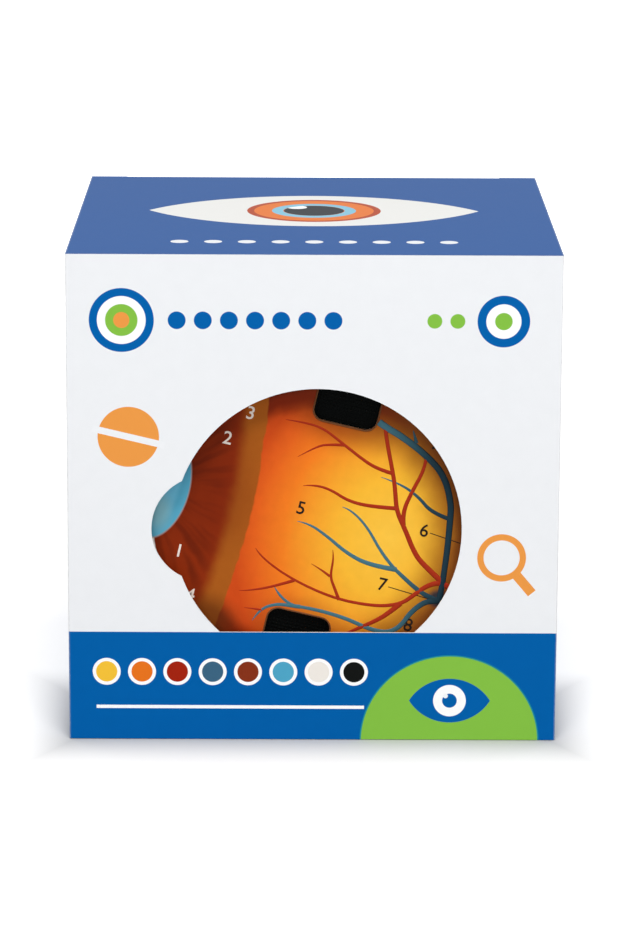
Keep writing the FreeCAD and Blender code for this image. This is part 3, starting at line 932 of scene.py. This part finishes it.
@dataclass(frozen=True)
class HookTape(Finish):
    """Black nylon hook or loop tape: rows of tiny hooks, or a fuzz of loops, that take up the light.

    The hooks of the real tape stand about 1.2 mm apart, which is what the pattern is drawn at.
    """

    pitch: float = 1.2
    disorder: float = 0.25
    height: float = 0.35

    def dress(self, tree: Tree) -> dict[str, object]:
        """Adds the hooks or loops.

        Args:
            tree: The material's nodes.

        Returns:
            The shader's inputs by name.
        """
        place = where(tree, turn=(0.0, EYE_TILT, 0.0))
        dots = add_node(tree, "TexVoronoi", (place, 1 / self.pitch, None, None, None, self.disorder))
        tops = add_node(tree, "MapRange", (dots, 0.1, 0.5, 1.0, 0.0))
        return {"Base Color": add_node(tree, "Mix", (tops, "#020303", "#080A09"), data_type="RGBA"),
                "Normal": add_node(tree, "Bump", (1.0, self.height * MM, None, tops)),
                "Roughness": 0.8, "IOR": 1.53, "Specular IOR Level": 0.05}


# ---------------------------------------------------------------- carton

def paint(node: str, material: Material) -> None:
    """Gives a CAD node its material and reports it.

    Args:
        node: The node's name.
        material: The material for all of it.
    """
    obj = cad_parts[node]
    obj.data.materials.clear()
    obj.data.materials.append(material)
    LOG.info("node %s is dressed in %s", node, material.name)


@dataclass
class Carton:
    """The board carton: its printed panels, its creases and the plain colour key on its front."""

    lid_blue: str = "#054C8F"  # darker than the band, because the lid shows the sheen of the room
    crease: float = 0.28
    badge: Triple = (45.1, -0.6, 29.2)
    zone_inks: tuple[str, ...] = ("#F5C23A", "#E8741F", "#A3240F", "#3C6480", "#86331A", "#4FA5C6",
                                  "#F0EAE2", "#101211")

    def dress(self) -> None:
        """Gives each board node its own finish."""
        side = self.wall_print(Layout(0))
        for finish in (
            PrintedBoard("varnished_front", Panel.FRONT, self.front_print(), band=True, wraps=True,
                         gloss=0.03),
            PrintedBoard("varnished_rear", Panel.REAR, self.wall_print(Layout(1)), band=True, wraps=True),
            PrintedBoard("varnished_left", Panel.LEFT, side, band=True),
            PrintedBoard("varnished_right", Panel.RIGHT, side, band=True),
            PrintedBoard("varnished_lid", Panel.LID, self.lid_print(), self.lid_blue, gloss=0.025),
            PrintedBoard("varnished_tuck", Panel.TUCK, ground=Ink.BLUE, centre=(0.0, TUCK_FOLD, HEIGHT),
                         lean=-TUCK_LEAN),
            PrintedBoard("coated_bottom_front", Panel.BOTTOM_FRONT),
            PrintedBoard("coated_bottom_rear", Panel.BOTTOM_REAR),
        ):
            paint(finish.panel.value[0], finish.made())
        plain = BareBoard("uncoated_board").made()
        for node in ("glue_flap", "bottom_left_flap", "bottom_right_flap", "left_dust_flap",
                     "right_dust_flap"):
            paint(node, plain)
        insert = BareBoard("insert_board", "#F0EFEA", "#DEDCD5").made()
        for part in ("deck", "front_leg", "rear_leg", "left_leg", "right_leg"):
            paint(f"insert_{part}", insert)

    def front_print(self) -> tuple[Patch, ...]:
        """Lays out the plain signs round the window, the colour key on the band and the green half disc.

        Returns:
            The patches, from the lowest.
        """
        flat = Layout(1)
        across, up, radius = self.badge
        signs = (
            *flat.rings((-62.0, 140.5), 10.5, (Ink.BLUE, Ink.WHITE, Ink.GREEN, Ink.ORANGE)),
            flat.dots((-19.0, 140.5), 8.4, 2.9, 7, Ink.BLUE),
            *flat.rings((61.0, 140.5), 8.5, (Ink.BLUE, Ink.WHITE, Ink.GREEN)),
            flat.dots((42.5, 140.5), 7.4, 2.4, 2, Ink.GREEN),
            flat.patch((-60.0, 102.0), (10.0, 10.0), Ink.ORANGE),
            flat.patch((-60.0, 102.0), (12.0, 1.1), Ink.PAPER, turn=EYE_TILT, square=True),
            flat.patch((61.5, 62.0), (8.0, 8.0), Ink.ORANGE, hole=0.74),
            flat.patch((68.6, 53.6), (1.6, 4.6), Ink.ORANGE, turn=-40.0, square=True),
        )
        key = (flat.dots((-27.0, 23.0), 11.6, 4.6, 8, Ink.WHITE),
               *(flat.patch((-67.6 + 11.6 * n, 23.0), (3.5, 3.5), ink)
                 for n, ink in enumerate(self.zone_inks)),
               flat.patch((-27.0, 11.0), (44.0, 0.55), Ink.WHITE, square=True))
        badge = (flat.patch((across, up), (radius + 0.45,) * 2, "#1E8C96"),
                 flat.patch((across, up), (radius, radius), Ink.GREEN),
                 *flat.eye_symbol((across, up + 14.0), 27.0, Ink.BLUE, Ink.WHITE, Ink.BLUE))
        return (*signs, *key, *badge)

    def wall_print(self, flat: Layout) -> tuple[Patch, ...]:
        """Lays out the plain signs of a wall without a window.

        Args:
            flat: The wall's layout.

        Returns:
            The patches, from the lowest.
        """
        return (*flat.eye_symbol((0.0, 101.0), 84.0, Ink.BLUE, Ink.WHITE, Ink.ORANGE),
                flat.patch((0.0, 101.0), (12.4, 12.4), Ink.GREEN, hole=0.72),
                flat.dots((0.0, 18.2), 13.0, 3.4, 9, Ink.WHITE))

    def lid_print(self) -> tuple[Patch, ...]:
        """Lays out the plain eye and the row of dots on the lid, in inks darker than they show.

        Returns:
            The patches, from the lowest.
        """
        flat = Layout(2)
        return (*flat.eye_symbol((0.0, 6.0), 116.0, "#E1E1DE", "#DA7226", "#101A22"),
                flat.patch((0.0, 6.0), (23.2, 23.2), "#A83E12", hole=0.9),
                flat.patch((0.0, 6.0), (14.6, 14.6), "#7FBBD2", hole=0.74),
                flat.dots((0.0, -56.0), 11.0, 3.0, 9, "#E2E4E7"))

    def build(self) -> None:
        """Adds the creases of the folds."""
        white = PrintInk("crease_white", "#EDEFF2", 0.06).made()
        blue = PrintInk("crease_blue", Ink.BLUE, 0.06).made()
        self.add_crease("lid_crease", "carton", white, WIDTH - 1.0, (0.0, -DEPTH / 2, HEIGHT))
        self.add_crease("tuck_crease", "lid", blue, WIDTH - 2 * SHOULDER - 1.0, (0.0, TUCK_FOLD, HEIGHT))
        for side, name in ((-1, "left"), (1, "right")):
            self.add_crease(f"{name}_dust_crease", "carton", white, DEPTH - 12.0,
                            (side * WIDTH / 2, 0.0, DUST_FOLD))

    def add_crease(self, name: str, body: str, material: Material, length: float, corner: Triple) -> None:
        """Adds the rounded ridge of board along a fold.

        Args:
            name: The piece's name.
            body: The body that it rides on.
            material: Its finish.
            length: The fold's length.
            corner: The outer corner of the fold at its middle. The fold runs along X, or along Y at a side.
        """
        bpy.ops.object.select_all(action="DESELECT")
        bpy.ops.mesh.primitive_cylinder_add(vertices=12, radius=self.crease, depth=length,
                                            end_fill_type="NGON")
        ridge = bpy.context.view_layer.objects.active
        bpy.ops.object.mode_set(mode="EDIT")
        bpy.ops.mesh.select_all(action="SELECT")
        bpy.ops.mesh.bevel(offset=self.crease * 0.35, segments=2, affect="EDGES")
        bpy.ops.object.mode_set(mode="OBJECT")
        inward = [-math.copysign(self.crease, value) if value else 0.0 for value in corner]
        lay = Matrix.Rotation(math.radians(90), 4, "X" if corner[0] else "Y")
        centre = (Vector(corner) + Vector(inward)) * MM
        ridge.matrix_world = Matrix.Translation(centre) @ lay @ Matrix.Scale(MM, 4)
        settle(ridge, name, body, material)


# ---------------------------------------------------------------- eye

@dataclass(frozen=True)
class Vessel:
    """A blood vessel drawn on the cut face: its route and its widths in drawn units.

    The tip is the share of the end width that is left at the very end. The lift raises a vessel over others.
    """

    route: tuple[Pair, ...]
    start: float
    end: float
    tip: float = 0.35
    lift: float = 1.0


ARTERIES = (
    Vessel(((45.4, -12.8), (43.7, -11.8), (39.7, -9.4), (35.8, -6.9), (32.9, -3.6), (29.9, 0.8), (25.2, 6.9),
            (23.7, 11.5), (21.8, 17.2), (16.8, 28.1), (15.2, 32.4)), 1.9, 1.2, 1.0),
    Vessel(((21.4, 18.7), (16.8, 19.0), (12.0, 20.3), (3.4, 24.4), (-4.7, 28.3), (-12.0, 28.4),
            (-16.6, 28.0)), 1.3, 0.5),
    Vessel(((3.6, 24.2), (-0.8, 23.4), (-4.8, 21.9), (-10.0, 17.0)), 1.0, 0.5),
    Vessel(((24.9, 7.8), (17.1, 6.5), (9.3, 6.5), (2.7, 9.0), (-2.9, 9.2), (-6.1, 8.1)), 1.4, 0.5),
    Vessel(((28.4, 3.0), (27.1, 6.8), (28.4, 14.3), (30.6, 22.5), (30.2, 26.6)), 1.5, 1.0, 1.0),
    Vessel(((49.0, -14.4), (46.6, -13.3), (44.6, -13.0), (42.4, -13.8), (39.8, -15.8), (37.4, -18.8),
            (34.6, -22.2), (30.6, -24.2), (24.7, -25.6), (14.4, -26.1), (4.1, -24.6), (-6.3, -21.6),
            (-14.4, -17.6), (-16.2, -15.6)), 2.0, 0.5),
    Vessel(((14.1, -26.2), (11.6, -22.5), (9.4, -19.1), (9.2, -13.1), (8.2, -10.4)), 1.1, 0.5),
    Vessel(((9.4, -19.2), (6.3, -17.7), (2.5, -16.5)), 0.9, 0.4),
    Vessel(((-1.5, -23.2), (-5.4, -25.5), (-12.7, -29.2), (-18.0, -30.7)), 1.1, 0.5),
    Vessel(((33.8, -22.6), (31.0, -26.5), (27.5, -30.1), (21.9, -34.4), (17.0, -38.0)), 1.8, 1.0),
    Vessel(((-9.4, -35.4), (-11.6, -35.3), (-15.2, -35.9)), 0.8, 0.4),
)
VEINS = (
    Vessel(((45.6, -18.9), (45.5, -14.0), (44.9, -8.8), (44.3, -3.0), (43.8, 0.7), (42.8, 7.2), (41.7, 13.6),
            (37.0, 22.4), (29.0, 27.7), (20.4, 31.5), (15.6, 32.9), (12.6, 34.2)), 1.9, 2.3, 1.0, 1.7),
    Vessel(((26.0, 30.2), (24.0, 34.0)), 1.4, 0.9),
    Vessel(((42.8, 8.3), (36.3, 9.0), (30.9, 13.2), (24.1, 16.1), (17.6, 16.7)), 1.5, 0.5),
    Vessel(((45.4, -19.0), (41.5, -18.4), (36.8, -16.4), (32.0, -13.6), (28.6, -11.6), (23.1, -7.0),
            (17.0, -0.1), (10.4, 4.1), (7.8, 4.2)), 1.8, 0.5),
    Vessel(((29.8, -12.0), (21.6, -12.6), (13.4, -10.7), (5.2, -6.3), (-1.5, -3.6), (-5.2, -3.8)), 1.7, 0.5),
    Vessel(((45.5, -18.9), (43.0, -19.6), (40.4, -21.2), (37.6, -25.0), (35.6, -30.2), (32.0, -33.4),
            (25.5, -33.4), (19.0, -31.9), (11.5, -31.2), (5.2, -31.2), (0.0, -31.6), (-3.2, -30.3),
            (-5.6, -28.6), (-7.2, -26.9)), 2.0, 0.7),
    Vessel(((2.4, -31.4), (-2.2, -31.8), (-5.8, -32.5), (-9.0, -34.4), (-10.7, -37.0), (-11.7, -39.4)),
           1.4, 0.5),
    Vessel(((48.8, -18.4), (45.6, -18.9), (42.0, -18.6)), 2.6, 1.6),
)


@dataclass(frozen=True)
class Key:
    """A plain number on the cut face: its numeral, place and ink, and the ends of its leader if any."""

    words: str
    place: Pair
    pale: bool = False
    leader: tuple[Pair, ...] = ()


KEYS = (
    Key("1", (-40.0, -22.4), True),
    Key("2", (-33.3, 17.6), True),
    Key("3", (-28.0, 27.3), True),
    Key("4", (-33.1, -35.9), True),
    Key("5", (-5.0, 0.6)),
    Key("6", (35.4, 2.6), False, ((37.4, 2.4), (48.1, 1.3))),
    Key("7", (26.5, -18.0), False, ((28.6, -18.2), (42.4, -19.1))),
    Key("8", (37.9, -29.3)),
    Key("9", (31.9, 31.4)),
)


@dataclass
class EyeHalf:
    """One foam half with its printed cut face, its vessels, its fastening recesses and its muscle strip."""

    half: Half
    artery_relief: float = 0.16
    vein_relief: float = 0.13
    lip: float = 0.28
    recess_gap: float = 0.5
    numeral_height: float = 4.3
    numeral_thick: float = 0.12
    leader: float = 0.3
    leader_relief: float = 0.3
    muscle: Triple = (46.0, 13.0, 1.6)
    muscle_along: float = -4.0
    muscle_round: float = 0.6

    def dress(self) -> None:
        """Gives the half's nodes their finishes."""
        side = self.half.body
        paint(f"{side}_foam", FoamSkin(f"foam_skin_{side}", self.half).made())
        paint(f"{side}_print", FaceFilm(f"printed_film_{side}", self.half).made())
        hooked = self.half is Half.LABELLED
        tape = HookTape("hook_tape") if hooked else HookTape("loop_tape", pitch=0.7, disorder=1.0)
        material = tape.made()
        for place in ("upper", "lower"):
            paint(f"{place}_{'hook' if hooked else 'loop'}_pad", material)

    def build(self) -> None:
        """Adds the vessels, the recess lips, the muscle strip and, on one half, the key numbers."""
        side = self.half.body
        self.add_vessels(f"{side}_arteries", ARTERIES, PrintInk(f"artery_ink_{side}", "#A32A0B", 0.03),
                         self.artery_relief)
        self.add_vessels(f"{side}_veins", VEINS,
                         PrintInk(f"vein_ink_{side}", "#41707F", 0.03, deep="#1E3642"), self.vein_relief)
        self.add_lips()
        self.add_muscle()
        if self.half is Half.LABELLED:
            self.add_keys()

    def place_on_face(self, obj: Piece, unit: float = DRAWN_UNIT) -> None:
        """Moves a mesh from its own XZ plane to the cut face.

        Args:
            obj: The mesh object, with X along the eye's axis to the nerve.
            unit: Its unit in millimetres.
        """
        centre = Vector((EYE_ACROSS, self.half.value * FACE, EYE_UP)) * MM
        turn = Matrix.Rotation(math.radians(EYE_TILT), 4, "Y")
        obj.matrix_world = Matrix.Translation(centre) @ turn @ Matrix.Scale(unit * MM, 4)

    def add_vessels(self, name: str, vessels: Sequence[Vessel], ink: PrintInk, relief: float) -> None:
        """Adds one kind of vessel as a single piece.

        Args:
            name: The piece's name.
            vessels: The vessels.
            ink: Their finish.
            relief: How far a ridge stands proud, as a share of its half width.
        """
        tree = join([drawn_line(vessel.route, (vessel.start, vessel.end), relief * vessel.lift, vessel.tip)
                     for vessel in vessels])
        self.place_on_face(tree)
        settle(tree, name, self.half.body, ink.made())

    def add_lips(self) -> None:
        """Adds the turned-in edge of the film round each fastening recess."""
        rings = []
        for across, up in PAD_PLACES:
            plate = add_plate(PAD_WIDTH + self.recess_gap, PAD_HEIGHT + self.recess_gap)
            bpy.ops.object.mode_set(mode="EDIT")
            bpy.ops.mesh.select_all(action="SELECT")
            bpy.ops.mesh.bevel(offset=PAD_ROUND, segments=7, affect="VERTICES")
            bpy.ops.mesh.select_all(action="SELECT")
            bpy.ops.mesh.delete(type="ONLY_FACE")
            bpy.ops.object.mode_set(mode="OBJECT")
            bpy.ops.object.convert(target="CURVE")
            outline = bpy.context.view_layer.objects.active
            outline.data.bevel_depth = self.lip
            outline.data.bevel_resolution = 3
            bpy.ops.object.convert(target="MESH")
            ring = bpy.context.view_layer.objects.active
            ring.location = (across, 0.0, up)
            apply_place(ring)
            rings.append(ring)
        lips = join(rings)
        bpy.ops.object.shade_smooth()
        self.place_on_face(lips, 1.0)
        settle(lips, f"{self.half.body}_recess_lips", self.half.body,
               PrintInk(f"turned_film_{self.half.body}", "#6C3F1E", 0.05, 0.5).made())

    def add_muscle(self) -> None:
        """Adds the raised red muscle strip that lies along the dome."""
        length, width, thick = self.muscle
        strip = add_plate(length, width)
        bpy.ops.object.mode_set(mode="EDIT")
        bpy.ops.mesh.select_all(action="SELECT")
        bpy.ops.mesh.subdivide(number_cuts=11)
        bpy.ops.mesh.subdivide(number_cuts=2)
        bpy.ops.object.mode_set(mode="OBJECT")
        self.place_on_face(strip, 1.0)
        clear_of_dome = -self.half.value * (BALL_RADIUS + 6.0) * MM
        strip.matrix_world = (Matrix.Translation((0.0, clear_of_dome, 0.0)) @ strip.matrix_world
                              @ Matrix.Translation((self.muscle_along, 0.0, 0.0)))
        apply_place(strip)
        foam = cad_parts[f"{self.half.body}_foam"]
        add_modifier(strip, "SHRINKWRAP", target=foam, wrap_method="PROJECT", use_project_y=True,
                     use_negative_direction=True, use_positive_direction=True)
        add_modifier(strip, "SOLIDIFY", thickness=thick * MM, offset=0.0)
        add_modifier(strip, "BEVEL", width=self.muscle_round * MM, segments=3, limit_method="ANGLE")
        point_outwards(strip)
        bpy.ops.object.shade_smooth_by_angle(angle=math.radians(40))
        settle(strip, f"{self.half.body}_muscle", self.half.body,
               PrintInk(f"muscle_red_{self.half.body}", "#B8322A", 0.14, 0.55).made())

    def add_keys(self) -> None:
        """Adds the plain key numbers and their leader lines."""
        for pale, name, code in ((True, "pale_keys", "#EFE3D8"), (False, "dark_keys", "#1C120C")):
            drawn = []
            for key in (key for key in KEYS if key.pale is pale):
                drawn.append(numeral(key.words, self.numeral_height, self.numeral_thick, key.place))
                if key.leader:
                    drawn.append(drawn_line(key.leader, (self.leader, self.leader), self.leader_relief))
            keys = join(drawn)
            self.place_on_face(keys)
            settle(keys, name, self.half.body, PrintInk(f"{name}_ink", code, 0.03).made())


# ---------------------------------------------------------------- studio

@dataclass(frozen=True)
class Lamp:
    """A square soft light that looks at the carton: its name, its place, its side and its power in watts."""

    name: str
    place: Triple
    side: float
    power: float

    def build(self) -> None:
        """Adds the light."""
        aim = Vector((0.0, 0.0, HEIGHT / 2)) - Vector(self.place)
        bpy.ops.object.select_all(action="DESELECT")
        bpy.ops.object.light_add(type="AREA", location=[value * MM for value in self.place],
                                 rotation=aim.to_track_quat("-Z", "Y").to_euler())
        lamp = bpy.context.view_layer.objects.active
        lamp.name = self.name
        lamp.data.size = self.side * MM
        lamp.data.energy = self.power


@dataclass
class Studio:
    """The pale floor, the plain soft lights and the camera.

    The camera's turns are in radians and its focal length is in pixels. The floor glows for the camera, by
    `floor_lift` where it is open and by more over `distance`, where the lamps light it less. Close to the
    carton the glow fades out over `beside`, `before` and `behind`, so that the floor's own grey shows there
    as a painted shade round the carton's base, which deepens its real shadow. The floor's sizes and these
    reaches, from the middle, are in metres.
    """

    place: Triple = (-3.4954, -1283.7159, 376.3377)
    pitch: float = 0.2314
    yaw: float = 0.0021
    roll: float = 0.0045
    focal_px: float = 3813.5
    long_side_px: float = 931.0
    sensor: float = 36.0
    sight: float = 100.0
    room_light: float = 0.23
    floor_side: float = 24.0
    floor_drop: float = -0.0002
    beside: Pair = (0.0785, 0.1052)
    before: Pair = (0.0805, 0.1290)
    behind: Pair = (-0.050, 0.005)
    floor_lift: float = 0.62
    distance: Pair = (0.20, 0.90)
    lamps: tuple[Lamp, ...] = (
        Lamp("key", (40.0, -1050.0, 2150.0), 985.0, 48.5),
        Lamp("fill", (60.0, -1400.0, 200.0), 900.0, 6.7),
        Lamp("rear_left", (-850.0, 800.0, 330.0), 500.0, 4.0),
        Lamp("rear_right", (850.0, 800.0, 330.0), 500.0, 4.0),
    )

    def build(self) -> None:
        """Builds the floor, the lights and the camera."""
        self.add_floor()
        self.add_world()
        for lamp in self.lamps:
            lamp.build()
        self.add_camera()

    def add_floor(self) -> None:
        """Adds the floor. It shows white to the camera, less the shadows on it and a painted shade round the
        carton.
        """
        bpy.ops.object.select_all(action="DESELECT")
        centre = (0.0, self.floor_side / 4, self.floor_drop)
        bpy.ops.mesh.primitive_plane_add(size=self.floor_side, location=centre)
        floor = bpy.context.view_layer.objects.active
        floor.name = "floor"
        apply_place(floor)
        material = bpy.data.materials.new("studio_floor")
        material.use_nodes = True
        tree = material.node_tree
        place = add_node(tree, "TexCoord").node.outputs["Object"]
        grain = add_node(tree, "TexNoise", (place, 3.0))
        away = add_node(tree, "VectorMath", (place,), operation="LENGTH")
        far = add_node(tree, "MapRange", (away, *self.distance))
        # the glow is taken away close to the carton, which paints a shade round its base
        white = add_node(tree, "Math", (self.glow_outside_painted_shade(tree, place), self.floor_lift, far),
                         operation="MULTIPLY_ADD")
        glow = add_node(tree, "Math", (self.backdrop_share(tree), white), operation="MULTIPLY")
        shader = tree.nodes["Principled BSDF"]
        for name, value in {
            # the floor's own grey shows only close to the carton, where it is painted shade
            "Base Color": add_node(tree, "Mix", (grain, "#B6B6B6", "#BABABA"), data_type="RGBA"),
            "Roughness": 1.0, "Specular IOR Level": 0.0, "Emission Color": Ink.WHITE,
            "Emission Strength": glow,
        }.items():
            feed(tree, shader.inputs[name], value)
        floor.data.materials.append(material)

    def glow_outside_painted_shade(self, tree: Tree, place: Socket) -> Socket:
        """Gives 1 on the open floor and less, down to 0, close to the carton, where the lost glow paints a
        shade.

        Args:
            tree: The floor's nodes.
            place: Where the floor is, in metres.

        Returns:
            The share.
        """
        parts = add_node(tree, "SeparateXYZ", (place,)).node.outputs
        aside = add_node(tree, "Math", (parts[0],), operation="ABSOLUTE")
        ahead = add_node(tree, "Math", (parts[1], -1.0), operation="MULTIPLY")
        white = add_node(tree, "MapRange", (parts[1], *self.behind), interpolation_type="SMOOTHSTEP")
        for reach, (start, end) in ((aside, self.beside), (ahead, self.before)):
            left = add_node(tree, "MapRange", (reach, start, end, 1.0, 0.0))
            squared = add_node(tree, "Math", (left, 2.0), operation="POWER")
            clear = add_node(tree, "Math", (1.0, squared), operation="SUBTRACT")
            white = add_node(tree, "Math", (white, clear), operation="MAXIMUM")
        return white

    def backdrop_share(self, tree: Tree) -> Socket:
        """Gives 1 for a ray that shows the backdrop, straight, in gloss or through a clear piece, else 0.

        Args:
            tree: The floor's or the world's nodes.

        Returns:
            The share.
        """
        path = add_node(tree, "LightPath").node.outputs
        share = path["Is Camera Ray"]
        for ray in ("Is Glossy Ray", "Is Transmission Ray"):
            share = add_node(tree, "Math", (share, path[ray]), operation="MAXIMUM")
        return share

    def add_world(self) -> None:
        """Adds the even light of the room, which shows white to the camera."""
        world = bpy.data.worlds.new("room")
        bpy.context.scene.world = world
        world.use_nodes = True
        tree = world.node_tree
        back = tree.nodes["Background"]
        feed(tree, back.inputs["Color"], Ink.WHITE)
        level = add_node(tree, "MapRange", (self.backdrop_share(tree), 0.0, 1.0, self.room_light, 1.0))
        feed(tree, back.inputs["Strength"], level)

    def add_camera(self) -> None:
        """Adds the camera and makes it the scene's own."""
        ahead = Vector((math.sin(self.yaw) * math.cos(self.pitch), math.cos(self.yaw) * math.cos(self.pitch),
                        -math.sin(self.pitch)))
        level = Vector((math.cos(self.yaw), -math.sin(self.yaw), 0.0))
        up = level.cross(ahead)
        right = math.cos(self.roll) * level + math.sin(self.roll) * up
        over = -math.sin(self.roll) * level + math.cos(self.roll) * up
        turn = Matrix((right, over, -ahead)).transposed().to_4x4()
        bpy.ops.object.select_all(action="DESELECT")
        bpy.ops.object.camera_add()
        camera = bpy.context.view_layer.objects.active
        camera.matrix_world = Matrix.Translation(Vector(self.place) * MM) @ turn
        camera.data.sensor_width = self.sensor
        camera.data.lens = self.focal_px / self.long_side_px * self.sensor
        camera.data.clip_end = self.sight
        bpy.context.scene.camera = camera


def main() -> None:
    """Builds the carton, both eye halves and the studio."""
    logging.basicConfig(level=logging.INFO, format="%(name)s: %(message)s")
    bpy.context.scene.view_settings.view_transform = "Standard"
    carton = Carton()
    carton.dress()
    carton.build()
    for half in Half:
        eye = EyeHalf(half)
        eye.dress()
        eye.build()
    Studio().build()


if __name__ == "__main__":
    main()
